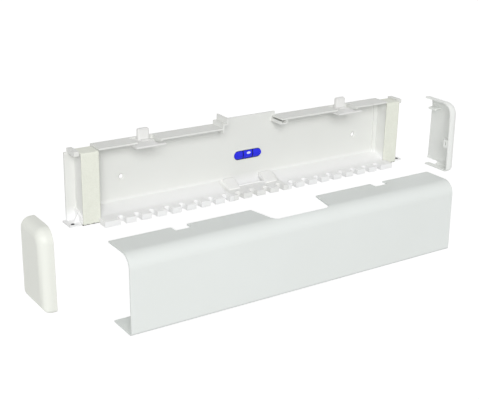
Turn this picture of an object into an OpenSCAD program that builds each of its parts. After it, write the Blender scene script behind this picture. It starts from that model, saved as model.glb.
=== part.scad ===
// Wall-mounted cable raceway box, drawn apart: a long back tray with a cable comb, a front cover and two end caps.
// X runs along the box, -Y faces the room and Z is up. The wall is the plane Y = 0, and the origin lies on it,
// midway between the two screw holes.

/* [Tray] */
// Length of the back wall
tray_len = 450; // [446:1:460]
// Height from the underside of the comb to the top of the flanges
tray_h = 82; // [76:1:96]
// Thickness of the back wall
wall_t = 2.5; // [2:0.1:3.2]
// Depth of the top flanges and end columns, from the wall
flange_d = 22.5; // [20:0.5:26]
// Thickness of the top flanges
flange_t = 2; // [1.6:0.1:2.6]
// Rise of the centre wall above the flanges
crest_rise = 4.2; // [1:0.2:6]
// Height of the gussets beside the latches
gusset_h = 9.5; // [6:0.5:11]
// Thickness of ribs, guides and tabs
rib_t = 1.8; // [1.4:0.1:2.4]

/* [Screw holes] */
// Distance between the two screw holes
hole_span = 320; // [280:5:340]
// Height of the screw holes above the underside of the comb
hole_z = 40; // [34:1:46]
// Diameter of a screw hole
hole_d = 4.5; // [3.5:0.1:5.5]
// Diameter of its countersink
sink_d = 9; // [7.5:0.1:10.5]

/* [Comb] */
// Number of cable notches
notch_n = 20; // [18:2:22]
// Distance from one notch to the next
pitch = 18.5; // [16:0.1:19]
// Width of a notch
notch_w = 6.8; // [5:0.1:9]
// Depth of a notch, from the front edge
notch_d = 10.5; // [8:0.5:13]
// Depth of the comb, from the wall
comb_d = 37; // [32:0.5:40]
// Height of the front face of a tooth
tooth_h = 6.5; // [5:0.1:9]
// Thickness of the floor
floor_t = 2.2; // [1.8:0.1:3]
// Width of the tooth at each end of the comb
end_tooth_w = 18; // [14:0.5:18.5]
// Height at which the sloped floor meets the back wall
slope_h = 13.5; // [10:0.5:18]
// Distance from the wall to the foot of the slope
slope_d = 18; // [15:0.5:21]

/* [End columns and straps] */
// Distance from the middle of a column to the end of the back wall
column_end = 20; // [19:0.5:22]
// Width of a column
column_w = 18; // [15:0.5:18.5]
// Thickness of a column's walls
column_t = 1.8; // [1.4:0.1:2.4]
// Width of a hook-and-loop strap
strap_w = 20; // [19:0.5:20]
// Thickness of a strap
strap_t = 1.3; // [1:0.1:1.6]
// Depth of the strap's top below the flanges
strap_sink = 2.3; // [0.5:0.1:4]
// Length of the hooked tab past the strap
tab_len = 6; // [4:0.5:6.5]
// Depth of the hooked tab, from the wall
tab_d = 19; // [14:0.5:21]
// Reach of the foot plate past the column
foot_len = 15; // [11:0.5:15]
// Depth of the foot plate, from the wall
foot_d = 19; // [12:0.5:20]

/* [Comb insert] */
// Width of the removable comb insert
insert_w = 75; // [70:0.5:78]
// Width of a clip bracket on the insert
clip_w = 15; // [11:0.5:17]
// Rise of a clip bracket above the sloped floor
clip_h = 1.3; // [0.6:0.1:3]
// Length of the open slot between the brackets
slot_len = 36; // [28:1:38]
// Distance from the wall to the front of the slot
slot_d = 15; // [11:0.5:16]

/* [Latches] */
// Width of the opening in the flange for a latch
gap_w = 28; // [25:0.5:32]
// Middle of the left flange opening
gap_left_x = -136; // [-140:0.5:-132]
// Middle of the right flange opening
gap_right_x = 132; // [128:0.5:136]
// Width of the latch's thumb block
block_w = 13.6; // [11:0.2:15]
// Depth of the thumb block
block_d = 6; // [5:0.1:7]
// Rise of the thumb block above the flanges
block_rise = 10; // [8:0.5:14]
// Travel of a latch
latch_travel = 4; // [3:0.5:4.5]
// Thickness of the latch plate
plate_t = 2; // [1.6:0.1:2.2]
// Length of the latch plate
plate_len = 35; // [33:0.5:38]
// Reach of the latch plate in front of the flange
plate_reach = 9; // [6:0.5:10]

/* [Cover] */
// Thickness of the cover and the end caps
cover_t = 1.8; // [1.4:0.1:2]
// Depth of the cover at its top, from the wall
cover_d = 46; // [42:0.5:52]
// Extra depth of the cover at its foot
cover_lean = 1.6; // [0:0.1:3]
// Radius of the cover's top front edge
cover_r = 15; // [11:0.5:18]
// Radius of the cover's bottom front edge
cover_foot_r = 4; // [3:0.5:6]
// Distance from the wall to the back edge of the cover's underside
cover_back = 9; // [6:0.5:14]
// Width of the central cable cut-out at the back edge
cutout_w = 89; // [86:1:96]
// Width of the cut-out at its front
cutout_front_w = 78; // [66:1:84]
// Depth of the cut-out from the back edge
cutout_d = 35.5; // [28:0.5:36]
// Radius of the cut-out's front corners
cutout_r = 8; // [5:0.5:12]

/* [End caps] */
// Width of an end cap
cap_w = 14.5; // [14:0.5:22]
// Radius round the outer face of an end cap
cap_r = 10; // [7:0.5:10]

/* [Spirit level] */
// Length of the vial window
vial_len = 37; // [30:0.5:44]
// Height of the vial window
vial_h = 10.4; // [8:0.2:12]
// Distance of the vial from the middle of the box
vial_x = 2; // [-4:0.5:4]

/* [Drawn apart] */
// Distance of the cover in front of its fitted place
cover_out = 80; // [60:1:90]
// Distance of the cover below its fitted place
cover_down = 79; // [70:1:100]
// Distance of the left cap beside its fitted place
left_out = 64; // [20:1:120]
// Distance of the left cap in front of its fitted place
left_front = 51; // [0:1:160]
// Distance of the left cap below its fitted place
left_down = 48; // [0:1:90]
// Distance of the right cap beside its fitted place
right_out = 34; // [20:1:90]
// Distance of the right cap in front of its fitted place
right_front = 32; // [0:1:60]

/* [Hidden] */

// Clearances: sliding and drop-in fits, and the paper-thin one between a strap and its column
fit = 0.3;
strap_fit = 0.05;
// Overlap that joins the pieces of one moulding and carries a cut through a face
joint = 0.6;
cut = 1;

tray_white = "#E4E5E1";
insert_white = "#E6E5DE";
cover_white = "#E3E7E4";
cap_white = "#E2E4DB";
strap_cream = "#E4E5D8";
vial_blue = "#2A2CE6";
mark_black = "#16161C";
bubble_pale = "#AEB4FA";

// Side of a cutter that only has to be larger than the part
far = 400;

column_x = tray_len / 2 - column_end;
column_front = flange_d - strap_t - strap_fit;
column_back = strap_t + 2 * fit;
strap_foot = 0.4;
column_foot = strap_foot + strap_t + strap_fit;
column_top = tray_h - strap_sink - strap_t - strap_fit;
column_inner_x = column_x - column_w / 2;
column_outer_x = column_x + column_w / 2;
strap_edge_x = column_x + strap_w / 2 + fit;
comb_half = (notch_n - 1) * pitch / 2 + notch_w / 2 + end_tooth_w;
insert_half = insert_w / 2;
crest_half = insert_half + 1.5;
wall_foot = 3;
wall_head = tray_h - 5;
floor_line = tooth_h;
slope_t = floor_t + 0.4;
bar_back = -comb_d + notch_d + floor_t;
cover_half = column_x + strap_w / 2;
cover_top = tray_h + fit + cover_t;
cover_foot = -fit - cover_t;
seam = 0.3;
plate_z = tray_h - flange_t - fit - plate_t;
plate_front = flange_d + plate_reach;
plate_left = 6;
finger_len = 8;
finger_d = 2.2;
block_back = wall_t + fit + 1;
foot_top = strap_foot + rib_t;
guide_foot = 6;
guide_step = 4.6;
guide_rise = 11;
guide_jog = 5;

// Every solid is drawn above the underside of the comb, and this puts it about the screw holes
module placed() {
    translate([0, 0, -hole_z])
        children();
}

// A box from its two opposite corners
module box(a, b) {
    translate([min(a.x, b.x), min(a.y, b.y), min(a.z, b.z)])
        cube([abs(b.x - a.x), abs(b.y - a.y), abs(b.z - a.z)]);
}

// Sweeps an outline drawn as [y, z] along X
module along_x(x0, x1) {
    translate([x0, 0, 0])
        rotate([90, 0, 90])
            linear_extrude(x1 - x0)
                children();
}

// A rectangle with true round corners
module round_rect(w, h, r) {
    square([w - 2 * r, h], center = true);
    square([w, h - 2 * r], center = true);
    for (sx = [-1, 1], sz = [-1, 1])
        translate([sx * (w / 2 - r), sz * (h / 2 - r)])
            circle(r, $fn = 32);
}

// The floor's section: slope, ledge and the front bar that the notches are cut in
module floor_section() {
    polygon([
        [-wall_t + joint, slope_h + joint], [-wall_t, slope_h], [-slope_d, floor_line], [-comb_d, floor_line],
        [-comb_d, 0], [bar_back, 0], [bar_back, floor_line - floor_t], [-slope_d + 0.6, floor_line - floor_t],
        [-wall_t, slope_h - slope_t], [-wall_t + joint, slope_h - slope_t]
    ]);
}

// One cable notch with a round back
module notch(x) {
    translate([x, -comb_d + notch_d - notch_w / 2, -cut])
        cylinder(d = notch_w, h = tooth_h + 2 * cut, $fn = 32);
    box([x - notch_w / 2, -comb_d - cut, -cut], [x + notch_w / 2, -comb_d + notch_d - notch_w / 2, tooth_h + cut]);
}

module notches() {
    for (k = [0 : notch_n - 1])
        notch((k - (notch_n - 1) / 2) * pitch);
}

// A countersunk screw hole through the back wall
module screw_hole(x) {
    translate([x, cut, hole_z])
        rotate([90, 0, 0])
            cylinder(d = hole_d, h = wall_t + 2 * cut, $fn = 48);
    translate([x, -wall_t - 0.01, hole_z])
        rotate([-90, 0, 0])
            cylinder(d1 = sink_d, d2 = hole_d, h = wall_t * 0.55, $fn = 48);
}

// The window that the spirit level shows through, as an outline facing the room
module vial_outline(grow) {
    square([vial_len - vial_h, vial_h + 2 * grow], center = true);
    for (s = [-1, 1])
        translate([s * (vial_len - vial_h) / 2, 0])
            circle(vial_h / 2 + grow, $fn = 48);
}

// Carries an outline in the plane of the wall from depth y0 to depth y1 in front of it
module off_wall(y0, y1) {
    translate([vial_x, -y0, hole_z])
        rotate([90, 0, 0])
            linear_extrude(y1 - y0)
                children();
}

// One length of top flange
module flange(x0, x1) {
    box([x0, 0, tray_h - flange_t], [x1, -flange_d, tray_h]);
}

// The gusset under the end of a flange, beside a latch: deep at the wall and shallow in front
module flange_gusset(x) {
    along_x(x, x + flange_t)
        polygon([
            [0, tray_h], [-flange_d, tray_h], [-flange_d, tray_h - flange_t - rib_t / 2],
            [-wall_t, tray_h - gusset_h], [0, tray_h - gusset_h]
        ]);
}

// The shelf that a latch plate rides on
module latch_shelf(gap_x) {
    x0 = gap_x - gap_w / 2 - plate_left - flange_t;
    x1 = x0 + plate_len + latch_travel + 2 * flange_t;
    box([x0, -wall_t + joint, plate_z - fit], [x1, -wall_t - 2 * flange_t, plate_z - fit - flange_t]);
}

// A hollow end column, open at the wall, with room for the strap to run round it
module column(x) {
    difference() {
        box([x - column_w / 2, -column_back, column_foot], [x + column_w / 2, -column_front, column_top]);
        box([x - column_w / 2 + column_t, cut, column_foot + column_t],
            [x + column_w / 2 - column_t, -column_front + column_t, column_top - column_t]);
    }
}

// The stepped guide at the left end of the centre wall: a low web, a step and a high web
module left_guide() {
    x0 = -crest_half - guide_jog;
    step_z = tray_h + guide_step;
    box([x0, -wall_t + joint, tray_h - guide_foot], [x0 + rib_t, -flange_d, step_z]);
    box([x0, -wall_t + joint, step_z - rib_t], [x0 + guide_jog + rib_t, -flange_d, step_z]);
    box([x0 + guide_jog, 0, step_z - rib_t], [x0 + guide_jog + rib_t, -flange_d, tray_h + guide_rise]);
    box([x0, 0, tray_h - joint], [-crest_half + joint, -wall_t, step_z]);
}

// The guide channel at the right end of the centre wall, with its opening towards the middle
module right_guide() {
    x0 = crest_half - guide_jog;
    x1 = crest_half + guide_jog;
    floor_z = tray_h - guide_foot - rib_t / 2;
    box([x0, -wall_t + joint, floor_z], [x1, -flange_d, floor_z + rib_t]);
    box([x1 - rib_t, -wall_t + joint, floor_z], [x1, -flange_d, tray_h]);
    box([x0, -wall_t + joint, floor_z], [x0 + rib_t, -flange_d, floor_z + 2 * rib_t]);
    box([x0 + rib_t, -wall_t + joint, tray_h - rib_t], [x1, -flange_d, tray_h]);
}

// The upright rib in the corner between the back wall and an end column
module corner_rib() {
    box([column_inner_x - 3 * rib_t, -wall_t + joint, slope_h - slope_t],
        [column_inner_x + joint, -wall_t - rib_t, tray_h - flange_t + joint]);
}

// The hooked tab past an end column: a small roof with a lip at its front and outer sides, on the wall's top
module end_tab() {
    end_x = strap_edge_x + tab_len;
    tab_top = tray_h - joint;
    difference() {
        box([strap_edge_x, 0, wall_head - joint], [end_x, -tab_d, tab_top]);
        box([strap_edge_x - cut, -wall_t, 0], [end_x - rib_t, -tab_d + rib_t, tab_top - rib_t]);
    }
}

// The foot plate past an end column, with its hole and the two gussets that carry it
module end_foot() {
    end_x = column_outer_x + foot_len;
    hole_edge = 5;
    difference() {
        box([strap_edge_x, 0, strap_foot], [end_x, -foot_d, foot_top]);
        translate([end_x - hole_edge, -foot_d + hole_edge - 1, -cut])
            cylinder(d = 4, h = foot_top + 2 * cut, $fn = 32);
    }
    box([strap_edge_x, 0, strap_foot], [tray_len / 2, -wall_t, wall_foot + joint]);
    along_x(column_outer_x - joint, column_outer_x + rib_t)
        polygon([[-wall_t + joint, column_foot], [-wall_t + joint, 16], [-foot_d, 9], [-foot_d, column_foot]]);
    translate([column_outer_x, -foot_d / 2, 0])
        rotate([90, 0, 0])
            linear_extrude(rib_t)
                polygon([[-joint, column_foot], [foot_len / 2, column_foot], [-joint, 16]]);
}

// What sticks out past an end column, drawn for the right end
module tray_end() {
    box([column_outer_x - joint, 0, wall_foot], [tray_len / 2, -wall_t, wall_head]);
    end_tab();
    end_foot();
}

module back_tray() {
    end_x = tray_len / 2;
    color(tray_white)
        placed()
            difference() {
                union() {
                    box([-end_x, 0, wall_foot], [end_x, -wall_t, wall_head]);
                    for (s = [[-cover_half, gap_left_x - gap_w / 2], [gap_left_x + gap_w / 2, -crest_half - guide_jog],
                            [crest_half + guide_jog - joint, gap_right_x - gap_w / 2],
                            [gap_right_x + gap_w / 2, cover_half]])
                        flange(s[0], s[1]);
                    box([-column_outer_x, 0, wall_head - joint], [column_outer_x, -wall_t, tray_h]);
                    box([-crest_half - joint, 0, tray_h - joint], [crest_half + joint, -wall_t, tray_h + crest_rise]);
                    for (m = [0, 1])
                        mirror([m, 0, 0]) {
                            corner_rib();
                            column(column_x);
                            tray_end();
                        }
                    left_guide();
                    right_guide();
                    for (x = [gap_left_x, gap_right_x]) {
                        flange_gusset(x + gap_w / 2);
                        latch_shelf(x);
                    }
                    difference() {
                        along_x(-comb_half, comb_half)
                            floor_section();
                        box([-insert_half - fit, -wall_t, -cut], [insert_half + fit, -comb_d - cut, slope_h + cut]);
                        notches();
                    }
                    insert_rests();
                    off_wall(wall_t - joint, wall_t + 0.8)
                        vial_outline(1.4);
                }
                for (s = [-1, 1]) {
                    strap_path(s * column_x);
                    screw_hole(s * hole_span / 2);
                }
                off_wall(0.8, wall_t + 0.8 + cut)
                    vial_outline(0);
            }
}

// The room that a strap takes behind, above and in front of its column
module strap_path(x) {
    x0 = x - strap_w / 2 - fit;
    x1 = x + strap_w / 2 + fit;
    box([x0, cut, -cut], [x1, -column_back, tray_h + cut]);
    box([x0, cut, column_top], [x1, -flange_d - cut, tray_h + cut]);
    box([x0, -column_front, -cut], [x1, -flange_d - fit, tray_h + cut]);
}

// Small rests under the insert's edges, on the tray's floor
module insert_rests() {
    rest_z = floor_line - floor_t - fit;
    for (m = [0, 1])
        mirror([m, 0, 0])
            for (top = [[insert_half - 3, rest_z], [insert_half + fit, floor_line - floor_t + joint]])
                box([top[0], -slope_d - 1, rest_z - rib_t], [insert_half + 3, bar_back + fit, top[1]]);
}

// A clip bracket beside the slot: a strip that follows the slope a little above it
module clip_bracket() {
    along_x(slot_len / 2, slot_len / 2 + clip_w)
        polygon([
            [-wall_t - fit, slope_h - slope_t], [-wall_t - fit, slope_h + clip_h], [-wall_t - 2 * rib_t, slope_h + clip_h],
            [-slope_d - rib_t, floor_line + clip_h], [-slope_d - rib_t, floor_line - joint],
            [-slope_d + rib_t, floor_line - joint]
        ]);
}

module comb_insert() {
    color(insert_white)
        placed()
            difference() {
                union() {
                    intersection() {
                        along_x(-insert_half, insert_half)
                            floor_section();
                        box([-insert_half, -wall_t - fit, -cut], [insert_half, -comb_d - cut, slope_h + cut]);
                    }
                    for (m = [0, 1])
                        mirror([m, 0, 0])
                            clip_bracket();
                }
                notches();
                box([-slot_len / 2, 0, -cut], [slot_len / 2, -slot_d, slope_h + 2 * cut]);
            }
}

// A hook-and-loop strap drawn tight round an end column
module strap(x) {
    y0 = -column_front - strap_fit - strap_t;
    y1 = -column_back + strap_fit + strap_t;
    z0 = column_foot - strap_fit - strap_t;
    z1 = column_top + strap_fit + strap_t;
    color(strap_cream)
        placed()
            along_x(x - strap_w / 2, x + strap_w / 2)
                translate([(y0 + y1) / 2, (z0 + z1) / 2])
                    difference() {
                        round_rect(y1 - y0, z1 - z0, 1.8);
                        square([y1 - y0 - 2 * strap_t, z1 - z0 - 2 * strap_t], center = true);
                    }
}

// A sliding latch: the plate under the flange, its finger and the thumb block that comes up through the gap
module latch(gap_x) {
    x0 = gap_x - gap_w / 2 - plate_left;
    block_x = gap_x - block_w / 2;
    block_z = plate_z + plate_t - joint;
    crown = 1;
    color(tray_white)
        placed() {
            box([x0, -wall_t - fit, plate_z], [x0 + plate_len - finger_len, -plate_front, plate_z + plate_t]);
            box([x0 + plate_len - finger_len - joint, -plate_front + finger_d, plate_z],
                [x0 + plate_len, -plate_front, plate_z + plate_t]);
            translate([gap_x, -block_back - block_d / 2, block_z]) {
                linear_extrude(tray_h + block_rise - crown - block_z)
                    round_rect(block_w, block_d, 2);
                linear_extrude(tray_h + block_rise - block_z)
                    round_rect(block_w - 2 * crown, block_d - 2 * crown, 1);
            }
            box([block_x + rib_t, -block_back, block_z],
                [block_x + block_w - rib_t, -block_back - block_d - 5, tray_h - flange_t + joint]);
        }
}

// The low dome of the vial, as a sector of a round bar cut to the window's outline
module vial_shape(shrink, front) {
    bar_r = 9;
    intersection() {
        off_wall(0.8, wall_t + 4)
            vial_outline(-shrink);
        along_x(vial_x - vial_len, vial_x + vial_len)
            translate([-front + bar_r, hole_z])
                circle(bar_r, $fn = 96);
    }
}

module vial_body() {
    color(vial_blue)
        placed()
            difference() {
                vial_shape(0.1, wall_t + 1.8);
                vial_bubble_space();
                for (s = [-1, 1])
                    vial_mark_space(s);
            }
}

module vial_bubble_space() {
    translate([vial_x + 1, -wall_t - 1.2, hole_z + 1.6])
        rotate([0, 90, 0])
            translate([0, 0, -3.2])
                cylinder(r = 1.6, h = 6.4, $fn = 32);
}

module vial_bubble() {
    color(bubble_pale)
        placed()
            intersection() {
                vial_bubble_space();
                vial_shape(0.1, wall_t + 1.8);
            }
}

module vial_mark_space(s) {
    mark_w = 1.1;
    gap = 13;
    box([vial_x + s * gap / 2 - mark_w / 2, -0.5, hole_z - vial_h], [vial_x + s * gap / 2 + mark_w / 2,
        -wall_t - 4, hole_z + vial_h]);
}

module vial_marks() {
    color(mark_black)
        placed()
            for (s = [-1, 1])
                intersection() {
                    vial_shape(0.1, wall_t + 1.8);
                    vial_mark_space(s);
                }
}

// The outer line of the cover's section, inset by t: two true arcs joined by the leaning front
module cover_outline(t) {
    top = cover_top - t;
    foot = cover_foot + t;
    a = [-cover_d + cover_r, cover_top - cover_r];
    b = [-cover_d - cover_lean + cover_foot_r, cover_foot + cover_foot_r];
    ra = cover_r - t;
    rb = cover_foot_r - t;
    far = 20;
    turn = asin((ra - rb) / norm(a - b));
    run = atan2(a.y - b.y, a.x - b.x);
    n = [cos(run + 90 + turn), sin(run + 90 + turn)];
    translate(a)
        circle(ra, $fn = 96);
    translate(b)
        circle(rb, $fn = 64);
    polygon([[far, top], [a.x, top], a, a + ra * n, b + rb * n, b, [b.x, foot], [far, foot]]);
}

// The cable cut-out in the cover's top, as seen from above
module cutout_outline() {
    y_mid = -cutout_d + cutout_r;
    polygon([[-cutout_w / 2, cut], [cutout_w / 2, cut], [cutout_front_w / 2, y_mid], [cutout_front_w / 2 - cutout_r, -cutout_d],
        [-cutout_front_w / 2 + cutout_r, -cutout_d], [-cutout_front_w / 2, y_mid]]);
    for (s = [-1, 1])
        translate([s * (cutout_front_w / 2 - cutout_r), y_mid])
            circle(cutout_r, $fn = 48);
}

// A catch under the cover's top that a latch's finger closes in front of
module catch(gap_x) {
    finger_end = gap_x - gap_w / 2 - plate_left + plate_len;
    box([finger_end + 0.8, -plate_front + finger_d + fit, plate_z - 1],
        [finger_end + 0.8 + latch_travel, -plate_front + finger_d + fit + 2, cover_top - cover_t + joint]);
}

module front_cover() {
    latch_room = block_back + block_d + 2 * fit;
    color(cover_white)
        translate([0, -cover_out, -cover_down])
            placed() {
                difference() {
                    along_x(-cover_half, cover_half)
                        difference() {
                            cover_outline(0);
                            cover_outline(cover_t);
                            translate([-seam, -far / 2])
                                square([far / 4, far]);
                            translate([-cover_back, cover_foot - cut])
                                square([far / 4, cover_t + 20]);
                        }
                    translate([0, 0, cover_top - cover_t - cut])
                        linear_extrude(cover_t + 2 * cut)
                            cutout_outline();
                    for (x = [gap_left_x, gap_right_x])
                        box([x - block_w / 2 - 2 * fit, cut, cover_top - cover_t - cut],
                            [x + block_w / 2 + latch_travel + 2 * fit, -latch_room, cover_top + cut]);
                }
                for (x = [gap_left_x, gap_right_x])
                    catch(x);
                along_x(-cover_half + 2, cover_half - 2)
                    polygon([[-cover_d + 2.6, cover_foot + cover_t - joint], [-cover_d + 2.6, cover_foot + cover_t + 1.6],
                        [-cover_d + 6, cover_foot + cover_t - joint]]);
            }
}

// A pillow shape on the cover's outline: square at the rim and rounded over towards its outer face
module pillow(t) {
    steps = 6;
    hull()
        for (i = [0 : steps]) {
            turn = i * 90 / steps;
            inset = t + (cap_r - t) * (1 - cos(turn));
            rise = cap_w - cap_r + (cap_r - t) * sin(turn);
            along_x(-0.01, rise)
                offset(delta = -inset)
                    cap_outline();
        }
}

// The cap's outline: the cover's, carried on past the wall so that only its room side is rounded
module cap_outline() {
    hull() {
        translate([-cover_d + cover_r, cover_top - cover_r])
            circle(cover_r, $fn = 48);
        translate([-cover_d - cover_lean + cover_foot_r, cover_foot + cover_foot_r])
            circle(cover_foot_r, $fn = 32);
        translate([20, cover_foot])
            square([10, cover_top - cover_foot]);
    }
}

// An end cap for the right end, open to the tray and to the wall
module end_cap() {
    foot_window = 6.3;
    color(cap_white)
        placed()
            translate([cover_half + seam, 0, 0]) {
                difference() {
                    pillow(0);
                    pillow(cover_t);
                    box([-cut, -seam, -50], [cap_w + cut, 100, 200]);
                    box([-cut, cut, cover_foot - cut], [7, -cover_back, cover_foot + 12]);
                    box([foot_window, cut, cover_foot - cut], [cap_w + cut, -foot_d - 3 * fit, foot_top + 2 * fit]);
                    box([2, -24, cover_foot - cut], [4, -36, cover_foot + 6]);
                }
                cap_hook();
                cap_clip();
            }
}

// The tongue inside a cap that goes under the tray's top tab
module cap_hook() {
    box([3, -4, column_top - 8.5], [cap_w - cover_t + joint, -16, column_top - 6.9]);
    box([3, -4, column_top - 9.5], [4.6, -16, column_top - 6.9]);
}

// The square clip on the inside of a cap's front wall
module cap_clip() {
    z = hole_z - 12;
    y = -cover_d + cover_t;
    difference() {
        box([0.6, y - 1.5, z], [2.8, y + 7, z + 10]);
        box([0, y + 2.5, z + 2.6], [3.4, y + 5, z + 7.4]);
    }
}

module strap_left() {
    strap(-column_x);
}

module strap_right() {
    strap(column_x);
}

module latch_left() {
    latch(gap_left_x);
}

module latch_right() {
    latch(gap_right_x);
}

module left_end_cap() {
    translate([-left_out, -left_front, -left_down])
        mirror([1, 0, 0])
            end_cap();
}

module right_end_cap() {
    translate([right_out, -right_front, 0])
        end_cap();
}

back_tray();
comb_insert();
strap_left();
strap_right();
latch_left();
latch_right();
vial_body();
vial_bubble();
vial_marks();
front_cover();
left_end_cap();
right_end_cap();
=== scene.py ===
# %% [markdown]
# # A wall-mounted cable raceway, drawn apart
#
# The object is a plastic box that hides cables on a wall. A long back tray carries a comb that holds the
# cables apart, a spirit level, two sliding latches and two hook-and-loop straps. A curved front cover and
# two end caps are drawn away from it, as on an instruction sheet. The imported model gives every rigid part
# in metres, so this script adds what a solid can't say: the cloth, the edges and the finishes.

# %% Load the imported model
import math

import bmesh
import bpy
from mathutils import Matrix, Vector, noise


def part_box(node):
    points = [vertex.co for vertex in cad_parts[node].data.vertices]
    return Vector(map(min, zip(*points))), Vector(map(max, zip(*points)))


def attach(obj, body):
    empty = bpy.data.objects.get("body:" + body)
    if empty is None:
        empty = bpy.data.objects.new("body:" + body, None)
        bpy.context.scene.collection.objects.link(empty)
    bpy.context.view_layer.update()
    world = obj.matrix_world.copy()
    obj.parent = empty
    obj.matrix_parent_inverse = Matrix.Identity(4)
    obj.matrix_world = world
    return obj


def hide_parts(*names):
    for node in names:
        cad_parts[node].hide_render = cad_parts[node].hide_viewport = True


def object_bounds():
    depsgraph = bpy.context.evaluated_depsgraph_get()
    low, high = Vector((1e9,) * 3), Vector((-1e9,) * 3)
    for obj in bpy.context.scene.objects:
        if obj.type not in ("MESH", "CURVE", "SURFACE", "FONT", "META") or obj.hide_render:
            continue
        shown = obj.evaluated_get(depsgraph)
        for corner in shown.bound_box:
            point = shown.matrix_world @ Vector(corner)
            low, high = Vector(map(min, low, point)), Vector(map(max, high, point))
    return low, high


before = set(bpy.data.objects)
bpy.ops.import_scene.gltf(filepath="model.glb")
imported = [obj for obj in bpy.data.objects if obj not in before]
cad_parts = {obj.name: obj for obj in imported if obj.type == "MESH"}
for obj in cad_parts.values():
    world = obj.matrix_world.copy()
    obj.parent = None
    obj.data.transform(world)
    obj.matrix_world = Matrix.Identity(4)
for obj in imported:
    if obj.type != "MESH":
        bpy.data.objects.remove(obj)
CAD_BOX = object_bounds()
scene = bpy.context.scene
MM = 0.001
print("nodes:", ", ".join(sorted(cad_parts)))

# %% [markdown]
# ## The camera
#
# The picture was taken from the left and a little above, with a fairly long lens. These seven numbers are
# a fit of the tray's corners, the comb and the screw holes: the focal length in pixels of a picture that is
# 479 wide, three turns in degrees, and the way from the camera to the part's origin in millimetres. The
# sensor of a Blender camera is 36 mm wide, which turns pixels into a lens length.

# %% Place the camera
PICTURE_WIDTH = 479
SENSOR_MM = 36
FOCAL_PX = 982.4509
AZIMUTH, ELEVATION, ROLL = (math.radians(turn) for turn in (33.6631, 20.3786, 1.1791))
TO_ORIGIN = Vector((5.8313, 54.0352, 1139.4001)) * MM

forward = Vector((math.sin(AZIMUTH) * math.cos(ELEVATION), math.cos(AZIMUTH) * math.cos(ELEVATION),
                  -math.sin(ELEVATION)))
level_right = Vector((math.cos(AZIMUTH), -math.sin(AZIMUTH), 0))
level_up = level_right.cross(forward)
camera_right = math.cos(ROLL) * level_right + math.sin(ROLL) * level_up
camera_up = math.cos(ROLL) * level_up - math.sin(ROLL) * level_right
camera_place = -(camera_right * TO_ORIGIN.x + camera_up * TO_ORIGIN.y + forward * TO_ORIGIN.z)

lens = bpy.data.cameras.new("camera")
lens.sensor_width = SENSOR_MM
lens.lens = FOCAL_PX * SENSOR_MM / PICTURE_WIDTH
camera = bpy.data.objects.new("camera", lens)
turn = Matrix((camera_right, camera_up, -forward)).transposed().to_4x4()
camera.matrix_world = Matrix.Translation(camera_place) @ turn
scene.collection.objects.link(camera)
scene.camera = camera
print(f"camera: {lens.lens:.1f} mm lens, {TO_ORIGIN.length:.2f} m from the part")

# %% [markdown]
# ## Colours and nodes
#
# Colours are read off a screen as sRGB hex codes, while the renderer works with linear light, so one
# function turns the one into the other. A second one adds a shader node: it sets the node's own options,
# gives each input a value or a link, and returns the node, so that a material reads from top to bottom.

# %% Two helpers for materials
def linear(code):
    """The linear colour of an sRGB hex code such as #E7E8E4."""
    parts = [int(code[k:k + 2], 16) / 255 for k in (1, 3, 5)]
    return (*(p / 12.92 if p <= 0.04045 else ((p + 0.055) / 1.055) ** 2.4 for p in parts), 1)


def add(tree, kind, inputs=(), **options):
    """A new node of a kind, with its options, and its inputs set or linked."""
    node = tree.nodes.new("ShaderNode" + kind)
    for name, value in options.items():
        setattr(node, name, value)
    for name, value in dict(inputs).items():
        if isinstance(value, bpy.types.NodeSocket):
            tree.links.new(value, node.inputs[name])
        else:
            node.inputs[name].default_value = value
    return node


def empty_tree(owner):
    """The owner's node tree, cleared."""
    owner.use_nodes = True
    owner.node_tree.nodes.clear()
    return owner.node_tree


print("linear white plastic:", [round(v, 3) for v in linear("#E7E8E4")])

# %% [markdown]
# ## White room and soft light
#
# The object floats on white. The world is white to the camera and to reflections, and only a soft fill
# for everything else: Light Path tells one kind of ray from the other. The floor does the same, so it
# looks white and still takes the object's soft shadow. A wide lamp stands at the camera's left, a little
# above, because in the picture the fronts are brightest, left faces come next and flat tops are darkest.

# %% White world, floor and lamps
FILL_LEVEL = 0.45
FLOOR_DROP = 0.25
FLOOR_HALF = 6         # half the floor's side, in metres
FLOOR_COLOUR = "#CCCCCC"
FLOOR_GLOW = 0.64


def seen_directly(tree):
    """1 for rays that the camera sees, straight or through gloss or glass, and 0 for the light itself."""
    ray = add(tree, "LightPath").outputs
    either = add(tree, "Math", {0: ray["Is Camera Ray"], 1: ray["Is Glossy Ray"]}, operation="MAXIMUM")
    return add(tree, "Math", {0: either.outputs[0], 1: ray["Is Transmission Ray"]},
               operation="MAXIMUM").outputs[0]


world = bpy.data.worlds.new("white_room")
scene.world = world
tree = empty_tree(world)
level = add(tree, "MapRange", {"Value": seen_directly(tree), "To Min": FILL_LEVEL, "To Max": 1.0})
sky = add(tree, "Background", {"Color": (1, 1, 1, 1), "Strength": level.outputs[0]})
add(tree, "OutputWorld", {"Surface": sky.outputs[0]})

floor_paint = bpy.data.materials.new("matt_white_floor_paint")
tree = empty_tree(floor_paint)
glow = add(tree, "Math", {0: seen_directly(tree), 1: FLOOR_GLOW}, operation="MULTIPLY")
paint = add(tree, "BsdfDiffuse", {"Color": linear(FLOOR_COLOUR)})
shine = add(tree, "Emission", {"Color": (1, 1, 1, 1), "Strength": glow.outputs[0]})
both = add(tree, "AddShader", {0: paint.outputs[0], 1: shine.outputs[0]})
add(tree, "OutputMaterial", {"Surface": both.outputs[0]})

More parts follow.
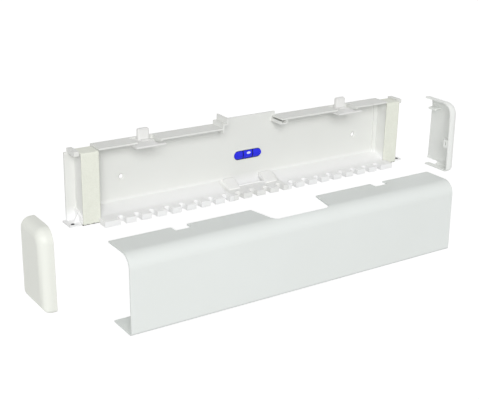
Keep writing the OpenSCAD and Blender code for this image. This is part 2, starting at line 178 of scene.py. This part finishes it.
bm = bmesh.new()
bmesh.ops.create_grid(bm, x_segments=1, y_segments=1, size=FLOOR_HALF)
bmesh.ops.translate(bm, vec=(0, 0, CAD_BOX[0][2] - FLOOR_DROP), verts=bm.verts)
floor_mesh = bpy.data.meshes.new("floor")
bm.to_mesh(floor_mesh)
bm.free()
floor_mesh.materials.append(floor_paint)
floor = bpy.data.objects.new("floor", floor_mesh)
scene.collection.objects.link(floor)


def lamp(name, kind, direction, energy, distance=2.0, mirrored=True, **options):
    """A lamp that looks at the origin from a direction, and may be left out of reflections."""
    light = bpy.data.lights.new(name, kind)
    light.energy = energy
    for option, value in options.items():
        setattr(light, option, value)
    holder = bpy.data.objects.new(name, light)
    holder.location = Vector(direction).normalized() * distance
    holder.rotation_euler = Vector(direction).to_track_quat("Z", "Y").to_euler()
    holder.visible_glossy = mirrored
    scene.collection.objects.link(holder)


lamp("wide_front_lamp", "SUN", (-0.40, -0.80, 0.44), 1.57, angle=0.5)
lamp("near_left_lamp", "AREA", (-0.55, -0.80, 0.3), 2.2, distance=1.2, size=0.8)
lamp("left_lamp", "SUN", (-1, -0.1, 0.1), 0.28, mirrored=False, angle=0.6)
lamp("back_lamp", "SUN", (0.55, 0.8, 0.05), 0.8, mirrored=False, angle=0.6)
print(f"floor {FLOOR_DROP * 1000:.0f} mm below the lowest piece, fill {FILL_LEVEL}")

# %% [markdown]
# ## Moulded and extruded plastic
#
# The tray, the insert, the latches and the caps are injection moulded in white plastic, in a steel mould
# whose walls were spark eroded. That leaves a fine, even grain of about 0.3 mm, and a satin sheen. Drawn
# at its own size it would vanish, so it is drawn a few times coarser. The cover is extruded through a die
# instead, which draws very faint lines along its whole length. Both start from the same few nodes: a wide,
# slow noise for the slight change of tone across a big part, a fine one for the grain, and Bevel, which
# bends the light over the sharp edges as their small real radius does. A noise counts its patterns per
# metre, so each scale is 1000 divided by the pattern's size in millimetres.

# %% White plastics
EDGE_RADIUS = 0.4 * MM
TONE_PATCH_MM = 70
ROUGHNESS_SPREAD = 0.05
PAINTED_LIGHT_FROM, PAINTED_LIGHT_TO = -22 * MM, -32 * MM      # the heights over which the tray's tone turns to its painted paler floor tone: painted light


def white_plastic(name, pale, deep, roughness, grain_mm, relief_mm, stretch=(1, 1, 1), gloss=0.4, low=None):
    """A satin white plastic with slow tone changes, a fine grain and softened edges."""
    material = bpy.data.materials.new(name)
    tree = empty_tree(material)
    place = add(tree, "TexCoord").outputs["Object"]
    along = add(tree, "Mapping", {"Vector": place, "Scale": stretch})
    slow = add(tree, "TexNoise", {"Vector": place, "Scale": 1000 / TONE_PATCH_MM, "Detail": 2.0})
    tone = add(tree, "Mix", {0: slow.outputs[0], 6: linear(pale), 7: linear(deep)}, data_type="RGBA")
    # Painted light: with a low tone, the colour fades into that paler tone towards the bottom of the part.
    if low:
        height = add(tree, "SeparateXYZ", {"Vector": place})
        foot = add(tree, "MapRange", {"Value": height.outputs["Z"], "From Min": PAINTED_LIGHT_FROM,
                                      "From Max": PAINTED_LIGHT_TO})
        tone = add(tree, "Mix", {0: foot.outputs[0], 6: tone.outputs[2], 7: linear(low)}, data_type="RGBA")
    grain = add(tree, "TexNoise", {"Vector": along.outputs[0], "Scale": 1000 / grain_mm, "Detail": 3.0})
    dull = add(tree, "MapRange", {"Value": grain.outputs[0], "From Min": 0.3, "From Max": 0.7,
                                  "To Min": roughness - ROUGHNESS_SPREAD,
                                  "To Max": roughness + ROUGHNESS_SPREAD})
    edge = add(tree, "Bevel", {"Radius": EDGE_RADIUS}, samples=6)
    relief = add(tree, "Bump", {"Strength": 0.5, "Distance": relief_mm * MM, "Height": grain.outputs[0],
                                "Normal": edge.outputs[0]})
    shader = add(tree, "BsdfPrincipled", {"Base Color": tone.outputs[2], "Roughness": dull.outputs[0],
                                          "Normal": relief.outputs[0], "IOR": 1.5,
                                          "Specular IOR Level": gloss})
    add(tree, "OutputMaterial", {"Surface": shader.outputs[0]})
    return material


# ABS in a spark-eroded mould: a warm grey white that looks dry, with no clear reflection.
# The tray's floor and comb are painted a touch paler than its back wall: painted light on the lower tray.
TRAY = white_plastic("abs_spark_eroded_mould", "#E5E6E3", "#E0E1DD", 0.5, 1.6, 0.05, gloss=0.25,
                     low="#F4F4F4")
# Polypropylene in a plainer mould: a shade warmer and waxier, so that the comb reads as its own part.
INSERT = white_plastic("polypropylene_moulded", "#EEEEEC", "#E9E9E7", 0.42, 1.6, 0.03, gloss=0.25)
# Acetal rubs on itself without grease, so latches are made of it; it looks smooth and a little glossy.
LATCH = white_plastic("acetal_moulded_smooth", "#E8E8E6", "#E3E3E1", 0.32, 1.2, 0.02)
# PVC pushed through a die: a cool white, satin, with faint lines along the box.
COVER = white_plastic("rigid_pvc_extruded", "#E6EAE8", "#E2E6E3", 0.42, 2.2, 0.03, stretch=(0.02, 1, 1),
                      gloss=0.12)
# ABS caps from their own mould: a slightly green, creamy white beside the cooler cover. The right one is
# seen from its inside and gets a paler, cooler copy of the same white: painted light in its shaded hollow.
CAP = white_plastic("abs_cap_satin_mould", "#E9EBE4", "#E4E6DE", 0.42, 1.4, 0.03, gloss=0.3)
CAP_PAINTED_PALER = white_plastic("abs_cap_painted_paler", "#F3F5F2", "#EEF0ED", 0.45, 1.4, 0.03, gloss=0.3)
print("white plastics:", ", ".join(m.name for m in (TRAY, INSERT, LATCH, COVER, CAP, CAP_PAINTED_PALER)))

# %% [markdown]
# ## Rounded twins of the sharp solids
#
# A solid from CAD ends in knife edges, and a moulded part never does: steel moulds have a radius of a few
# tenths of a millimetre at every corner, and that radius catches the light. Each moulded part gets a twin.
# Its mesh is a copy of the solid's, merged where the triangles touch, with flat areas joined into single
# faces, and then its sharp edges are bevelled. The caps' corners are round in the solid already, so their
# twins are only smoothed. Edges under a certain angle are shaded smooth, so that curves stay smooth.

# %% Twins with a small radius
MERGE_WITHIN = 0.002 * MM
TOO_SHORT = 0.001 * MM
FLAT_DEGREES = 0.6
GUSSET_X, GUSSET_TOP = 212 * MM, -18 * MM


def in_foot_corner(edge):
    """Whether an edge is where the two thin gussets meet the tray's foot, too tight for a bevel."""
    middle = (edge.verts[0].co + edge.verts[1].co) / 2
    return abs(middle.x) > GUSSET_X and middle.z < GUSSET_TOP


def twin(node, name, body, material, radius_mm, smooth_angle=32):
    """A copy of a CAD node with merged faces, small bevels and smooth curves, in the node's place."""
    bm = bmesh.new()
    bm.from_mesh(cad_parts[node].data)
    bmesh.ops.remove_doubles(bm, verts=bm.verts, dist=MERGE_WITHIN)
    bmesh.ops.dissolve_degenerate(bm, dist=TOO_SHORT, edges=bm.edges)
    bmesh.ops.dissolve_limit(bm, angle_limit=math.radians(FLAT_DEGREES), verts=bm.verts, edges=bm.edges)
    if radius_mm:
        sharp = [e for e in bm.edges if e.is_manifold and e.calc_face_angle(0) > math.radians(smooth_angle)
                 and not in_foot_corner(e)]
        bmesh.ops.bevel(bm, geom=sharp, offset=radius_mm * MM, offset_type="OFFSET", affect="EDGES",
                        segments=2, profile=0.5, material=-1, clamp_overlap=True)
    for edge in bm.edges:
        edge.smooth = edge.calc_face_angle(0) < math.radians(smooth_angle)
    for face in bm.faces:
        face.smooth = True
    mesh = bpy.data.meshes.new(name)
    bm.to_mesh(mesh)
    open_edges = sum(1 for e in bm.edges if not e.is_manifold)
    bm.free()
    mesh.materials.append(material)
    piece = bpy.data.objects.new(name, mesh)
    scene.collection.objects.link(piece)
    even = piece.modifiers.new("even_shading", "WEIGHTED_NORMAL")
    even.keep_sharp = True
    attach(piece, body)
    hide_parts(node)
    print(f"{name}: {len(mesh.polygons)} faces, {open_edges} open edges")
    return piece


twin("left_end_cap", "cap_left_smooth", "left_cap", CAP, 0)
twin("right_end_cap", "cap_right_smooth", "right_cap", CAP_PAINTED_PALER, 0)
twin("comb_insert", "comb_insert_rounded", "tray", INSERT, 0.35)
twin("latch_left", "latch_left_rounded", "latch_left", LATCH, 0.4)
twin("latch_right", "latch_right_rounded", "latch_right", LATCH, 0.4)
twin("back_tray", "back_tray_rounded", "tray", TRAY, 0.3)

# %% [markdown]
# ## The hook-and-loop straps
#
# Each strap is a band of loop tape, 20 mm wide, pulled tight round the post at the tray's end. The tape
# is knitted nylon with a pile of tiny loops, so its face is soft and cloudy and its cut edges are never
# quite straight. The pile could be made of hairs, but from a metre away two bumps, one for the loops and
# one for the fluff, say as much.

# %% Loop tape as a finish
PILE_MM = 1.1      # the loops are about 0.3 mm across, and are drawn coarser so that they show
CLOUD_MM = 6
SHADE_GRAIN_MM = 0.9      # the grain of the painted shade at the strap's fold, drawn coarse enough to show

loop_tape = bpy.data.materials.new("nylon_loop_tape_knitted")
tree = empty_tree(loop_tape)
place = add(tree, "TexCoord").outputs["Object"]
cloudy = add(tree, "TexNoise", {"Vector": place, "Scale": 1000 / CLOUD_MM, "Detail": 4.0})
loops = add(tree, "TexVoronoi", {"Vector": place, "Scale": 1000 / PILE_MM})
fluff = add(tree, "TexNoise", {"Vector": place, "Scale": 1000 / PILE_MM, "Detail": 5.0, "Roughness": 0.7})
blend = add(tree, "Mix", {0: 0.75, 2: cloudy.outputs[0], 3: fluff.outputs[0]})
spread = add(tree, "MapRange", {"Value": blend.outputs[0], "From Min": 0.35, "From Max": 0.65})
tone = add(tree, "Mix", {0: spread.outputs[0], 6: linear("#E2E4D8"), 7: linear("#EBEDE2")}, data_type="RGBA")
deep = add(tree, "Bump", {"Strength": 0.35, "Distance": 0.25 * MM, "Height": loops.outputs[0]})
pile = add(tree, "Bump", {"Strength": 0.6, "Distance": 0.3 * MM, "Height": fluff.outputs[0],
                          "Normal": deep.outputs[0]})
cloth = add(tree, "BsdfPrincipled", {"Base Color": tone.outputs[2], "Roughness": 0.95, "Sheen Weight": 0.25,
                                     "Sheen Roughness": 0.5, "Normal": pile.outputs[0]})
add(tree, "OutputMaterial", {"Surface": cloth.outputs[0]})
print("loop tape:", len(tree.nodes), "nodes")

# Painted shade: a dark grey material on the band's lowest faces at the front, where it folds under.
fold_painted_shade = bpy.data.materials.new("painted_fold_shade_dark")
tree = empty_tree(fold_painted_shade)
place = add(tree, "TexCoord").outputs["Object"]
shade_grain = add(tree, "TexNoise", {"Vector": place, "Scale": 1000 / SHADE_GRAIN_MM, "Detail": 2.0})
tone = add(tree, "Mix", {0: shade_grain.outputs[0], 6: linear("#3C3C3A"), 7: linear("#8E8E88")}, data_type="RGBA")
cloth = add(tree, "BsdfPrincipled", {"Base Color": tone.outputs[2], "Roughness": 0.9})
add(tree, "OutputMaterial", {"Surface": cloth.outputs[0]})

# %% [markdown]
# ## Two bands of tape
#
# A band is quickest to make from a box with two sides taken off: bevelling the four long edges rounds the
# bends, and cutting it into a fine net lets a noise raise the pile and fray the edges. Solidify then gives
# the cloth its thickness. The lowest faces at the front take a dark grey material: painted shade at that
# fold.

# %% The two bands
TAPE_THICK = 1.3 * MM
BEND_RADIUS = 1.3 * MM
WIDTH_CUTS, HEIGHT_CUTS, DEPTH_CUTS = 24, 88, 20
PILE_LIFT_MM = 0.07
FRAY_MM = 0.28
FOLD_MM = 0.9
FOLD_DEPTH = 3 * MM


def along(edge):
    """The direction that an edge runs in, as positive numbers."""
    run = edge.verts[1].co - edge.verts[0].co
    return [abs(c) / max(run.length, 1e-9) for c in run]


def loop_band(node, name, body):
    """A band of loop tape round a post, where the CAD band lies."""
    low, high = (Vector(corner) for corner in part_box(node))
    bm = bmesh.new()
    bmesh.ops.create_cube(bm, size=1)
    bmesh.ops.scale(bm, vec=high - low - Vector((0, TAPE_THICK, TAPE_THICK)), verts=bm.verts)
    bmesh.ops.translate(bm, vec=(low + high) / 2, verts=bm.verts)
    bm.normal_update()
    bmesh.ops.delete(bm, geom=[f for f in bm.faces if abs(f.normal.x) > 0.9], context="FACES_ONLY")
    bmesh.ops.bevel(bm, geom=[e for e in bm.edges if along(e)[0] > 0.9], offset=BEND_RADIUS,
                    offset_type="OFFSET", affect="EDGES", segments=5, profile=0.5, material=-1)
    bmesh.ops.subdivide_edges(bm, edges=[e for e in bm.edges if along(e)[0] > 0.9], cuts=WIDTH_CUTS)
    for axis, cuts in ((2, HEIGHT_CUTS), (1, DEPTH_CUTS)):
        runs = [e for e in bm.edges if along(e)[axis] > 0.99 and e.calc_length() > 5 * MM]
        bmesh.ops.subdivide_edges(bm, edges=runs, cuts=cuts)
    bm.normal_update()
    rim = {v for v in bm.verts if v.is_boundary}
    for v in bm.verts:
        wave = noise.noise(v.co * 900) + 0.5 * noise.noise(v.co * 2100)
        v.co += v.normal * wave * PILE_LIFT_MM * MM
        if v in rim:
            v.co.x += wave * FRAY_MM * MM
    bmesh.ops.recalc_face_normals(bm, faces=bm.faces)
    for face in bm.faces:
        face.smooth = True
        spot = face.calc_center_median()
        # Painted shade: the lowest faces at the front fold take the dark second material.
        fold = (FOLD_MM + FOLD_MM * noise.noise(spot * 500)) * MM
        in_fold_shade = spot.z < low.z + TAPE_THICK / 2 + fold
        face.material_index = int(in_fold_shade and spot.y < low.y + FOLD_DEPTH)
    mesh = bpy.data.meshes.new(name)
    bm.to_mesh(mesh)
    area = sum(f.calc_area() for f in bm.faces)
    bm.free()
    mesh.materials.append(loop_tape)
    mesh.materials.append(fold_painted_shade)
    band = bpy.data.objects.new(name, mesh)
    scene.collection.objects.link(band)
    thick = band.modifiers.new("tape_thickness", "SOLIDIFY")
    thick.thickness = TAPE_THICK
    thick.offset = 0
    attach(band, body)
    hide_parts(node)
    print(f"{name}: {area * 1e6:.0f} square mm of tape, {len(mesh.polygons)} faces")


loop_band("strap_left", "loop_band_left", "tray")
loop_band("strap_right", "loop_band_right", "tray")

# %% [markdown]
# ## The spirit level
#
# A small vial of clear acrylic is pressed into the tray's wall and filled with blue-dyed spirit. Two black
# rings are printed round it, and an air bubble floats at the top between them. From a metre away the dye
# makes it an even, glossy blue, so a glossy opaque shader is truer here than glass, which would show the
# white wall through it.

# %% Vial, bubble and printed rings
DYE_TONES = ("#1D22DA", "#2228E1", "#272CE8")
SWIRL_MM, HAZE_MM, WEAR_MM = 9, 2, 0.8

vial = bpy.data.materials.new("dyed_spirit_in_acrylic")
tree = empty_tree(vial)
place = add(tree, "TexCoord").outputs["Object"]
swirl = add(tree, "TexNoise", {"Vector": place, "Scale": 1000 / SWIRL_MM, "Detail": 2.0})
tone = add(tree, "Mix", {0: swirl.outputs[0], 6: linear(DYE_TONES[0]), 7: linear(DYE_TONES[2])},
           data_type="RGBA")
acrylic = add(tree, "BsdfPrincipled", {"Base Color": tone.outputs[2], "Roughness": 0.2, "IOR": 1.49,
                                       "Specular IOR Level": 0.3})
add(tree, "OutputMaterial", {"Surface": acrylic.outputs[0]})

# The bubble's solid is a short round bar, flush with the vial's front. A bubble in a level is an oval, so
# the air's pale tone turns into the dye's blue outside an oval as long and as high as the bar.
air = bpy.data.materials.new("air_bubble_in_spirit")
tree = empty_tree(air)
low, high = (Vector(corner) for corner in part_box("vial_bubble"))
middle, reach = (low + high) / 2, (high - low) / 2
place = add(tree, "TexCoord").outputs["Object"]
oval = add(tree, "Mapping", {"Vector": place, "Location": middle, "Scale": (reach.x, 1, reach.z)},
           vector_type="TEXTURE")
away = add(tree, "VectorMath", {0: oval.outputs[0]}, operation="LENGTH")
outside = add(tree, "MapRange", {"Value": away.outputs["Value"], "From Min": 0.7, "From Max": 0.95})
haze = add(tree, "TexNoise", {"Vector": place, "Scale": 1000 / HAZE_MM, "Detail": 1.0})
pale = add(tree, "Mix", {0: haze.outputs[0], 6: linear("#CFD2F0"), 7: linear("#E4E6F4")}, data_type="RGBA")
tone = add(tree, "Mix", {0: outside.outputs[0], 6: pale.outputs[2], 7: linear(DYE_TONES[1])},
           data_type="RGBA")
bright = add(tree, "BsdfPrincipled", {"Base Color": tone.outputs[2], "Roughness": 0.2, "IOR": 1.49,
                                      "Specular IOR Level": 0.3})
add(tree, "OutputMaterial", {"Surface": bright.outputs[0]})
print("bubble mm:", [round(side * 2000, 1) for side in reach])

ink = bpy.data.materials.new("black_screen_print")
tree = empty_tree(ink)
place = add(tree, "TexCoord").outputs["Object"]
worn = add(tree, "TexNoise", {"Vector": place, "Scale": 1000 / WEAR_MM, "Detail": 3.0})
tone = add(tree, "Mix", {0: worn.outputs[0], 6: linear("#08080C"), 7: linear("#121218")}, data_type="RGBA")
matt = add(tree, "BsdfPrincipled", {"Base Color": tone.outputs[2], "Roughness": 0.6,
                                    "Specular IOR Level": 0.1})
add(tree, "OutputMaterial", {"Surface": matt.outputs[0]})

# %% [markdown]
# ## Two patches of painted shade
#
# A thin dark ring round the vial and a dark filling in each foot plate's hole are painted shade: the ring
# stands in for the shadow in the gap round the vial, and a filling for the shade inside the hole. The ring
# is two circles, pulled apart at their middles so that they become a long window, and bridged. A filling
# is a short cylinder with its rim bevelled, so that it has a soft shoulder.

# %% Painted shade round the vial and in the foot holes
SPECKLE_MM = 1.5
RING_SEGMENTS = 64

# One dark material for both patches of painted shade.
painted_shade_dark = bpy.data.materials.new("dark_painted_shade")
tree = empty_tree(painted_shade_dark)
place = add(tree, "TexCoord").outputs["Object"]
speckle = add(tree, "TexNoise", {"Vector": place, "Scale": 1000 / SPECKLE_MM, "Detail": 3.0})
tone = add(tree, "Mix", {0: speckle.outputs[0], 6: linear("#16161A"), 7: linear("#34343A")}, data_type="RGBA")
soft = add(tree, "BsdfPrincipled", {"Base Color": tone.outputs[2], "Roughness": 0.7,
                                    "Specular IOR Level": 0.2})
add(tree, "OutputMaterial", {"Surface": soft.outputs[0]})


def small_piece(bm, name):
    """A finished small piece on the tray from a bmesh."""
    bmesh.ops.recalc_face_normals(bm, faces=bm.faces)
    for face in bm.faces:
        face.smooth = True
    mesh = bpy.data.meshes.new(name)
    bm.to_mesh(mesh)
    bm.free()
    mesh.materials.append(painted_shade_dark)
    piece = bpy.data.objects.new(name, mesh)
    scene.collection.objects.link(piece)
    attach(piece, "tray")
    return piece


# Painted shade: a thin dark ring round the vial stands in for the shadow in the gap round it.
low, high = (Vector(corner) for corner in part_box("vial_body"))
BEZEL_FACE = -3.3 * MM
SHADE_RING_PROUD = 0.1 * MM
SHADE_RING_DEPTH = 0.4 * MM
SHADE_RING_WIDE = 0.55 * MM
half_high = (high.z - low.z) / 2
half_run = (high.x - low.x) / 2 - half_high
bm = bmesh.new()
for radius in (half_high + SHADE_RING_WIDE / 2, half_high - SHADE_RING_WIDE / 2):
    bmesh.ops.create_circle(bm, segments=RING_SEGMENTS, radius=radius)
half_step = Matrix.Rotation(math.pi / RING_SEGMENTS, 3, "Z")
bmesh.ops.rotate(bm, cent=(0, 0, 0), matrix=half_step, verts=bm.verts)
for v in bm.verts:
    v.co.x += math.copysign(half_run, v.co.x)
bmesh.ops.bridge_loops(bm, edges=bm.edges)
bmesh.ops.rotate(bm, cent=(0, 0, 0), matrix=Matrix.Rotation(math.pi / 2, 3, "X"), verts=bm.verts)
shade_ring_y = BEZEL_FACE - SHADE_RING_PROUD + SHADE_RING_DEPTH / 2
bmesh.ops.translate(bm, vec=((low.x + high.x) / 2, shade_ring_y, (low.z + high.z) / 2), verts=bm.verts)
depth = small_piece(bm, "vial_painted_shade_ring").modifiers.new("shade_ring_depth", "SOLIDIFY")
depth.thickness = SHADE_RING_DEPTH
depth.offset = 0
print("vial mm:", [round(side * 1000, 1) for side in high - low], "front at", round(low.y * 1000, 2))

# Painted shade: a short dark cylinder fills each foot plate's hole, standing in for the shade inside it.
SHADE_FILL_X, SHADE_FILL_Y = 224 * MM, -15 * MM
PLATE_LOW, PLATE_HIGH = -39.6 * MM, -37.8 * MM
SHADE_FILL_RADIUS = 1.9 * MM
SHADE_FILL_PROUD = 0.6 * MM
SHADE_FILL_SHOULDER = 0.4 * MM
for side, name in ((-1, "foot_hole_painted_shade_left"), (1, "foot_hole_painted_shade_right")):
    bm = bmesh.new()
    bmesh.ops.create_cone(bm, cap_ends=True, segments=32, radius1=SHADE_FILL_RADIUS, radius2=SHADE_FILL_RADIUS,
                          depth=PLATE_HIGH - PLATE_LOW + SHADE_FILL_PROUD)
    rim = [e for e in bm.edges if all(v.co.z > 0 for v in e.verts)]
    bmesh.ops.bevel(bm, geom=rim, offset=SHADE_FILL_SHOULDER, offset_type="OFFSET", affect="EDGES", segments=3,
                    profile=0.5, material=-1)
    bmesh.ops.translate(bm, vec=(side * SHADE_FILL_X, SHADE_FILL_Y, (PLATE_LOW + PLATE_HIGH) / 2), verts=bm.verts)
    small_piece(bm, name)
print("plugs at x mm:", SHADE_FILL_X * 1000)

# %% [markdown]
# ## Finishes on the solids that stay
#
# The front cover's solid is already right: its bends come from true arcs. It keeps its mesh and only gets
# its finish, and so do the vial, its bubble and its rings. The nodes that a new piece replaced get theirs
# too. A node's material slots belong to its object, so assigning there changes nothing else.

# %% Assign the finishes
FINISH = {"front_cover": COVER, "vial_body": vial, "vial_bubble": air, "vial_marks": ink,
          "back_tray": TRAY, "comb_insert": INSERT, "latch_left": LATCH, "latch_right": LATCH,
          "left_end_cap": CAP, "right_end_cap": CAP_PAINTED_PALER, "strap_left": loop_tape, "strap_right": loop_tape}
for node, material in FINISH.items():
    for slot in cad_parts[node].material_slots:
        slot.material = material
print("finished nodes:", len(FINISH))

# %% [markdown]
# ## The view transform
#
# The picture shows colours as they are, so the view transform is Standard.

# %% View transform
scene.view_settings.view_transform = "Standard"
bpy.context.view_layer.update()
